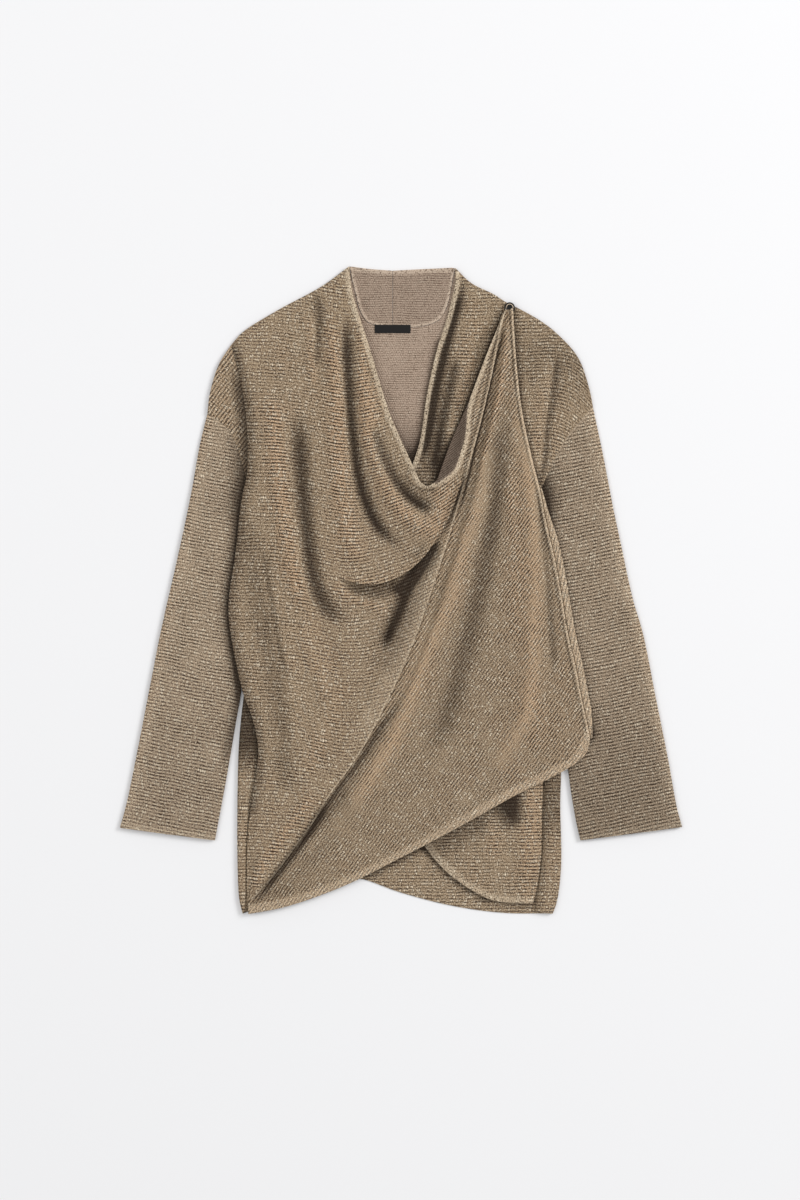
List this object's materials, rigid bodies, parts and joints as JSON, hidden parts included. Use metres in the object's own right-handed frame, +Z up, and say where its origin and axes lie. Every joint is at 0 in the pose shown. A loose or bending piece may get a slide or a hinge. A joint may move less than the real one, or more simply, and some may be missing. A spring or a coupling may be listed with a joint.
{
  "type": "cape cardigan",
  "caption": "Knitted cardigan laid flat, with a cowl-draped right front that buttons at the shoulder and falls as a cape, drop-shoulder sleeves and a rolled neck hem",
  "frame": {"origin": "centre of the garment's outline in plan, on the surface that it lies on", "axes": "+X towards the wearer's left sleeve, +Y from the hem to the neck, +Z up from the surface"},
  "size_m": [0.674, 0.776, 0.0185],
  "materials": {
    "knit": "fine reverse-side knit in taupe and olive-brown flecked yarn, matt",
    "thread": "pale taupe sewing thread",
    "button": "black resin, satin",
    "label": "black woven satin, bare"
  },
  "bodies": {
    "root": {"back": "knit", "back_collar_right": "knit", "back_collar_left": "knit", "left_front": "knit", "right_front": "knit", "right_sleeve": "knit", "left_sleeve": "knit", "cape_edge_roll": "knit", "shoulder_button": "button", "button_loop": "thread", "neck_label": "label"}
  },
  "joints": []
}
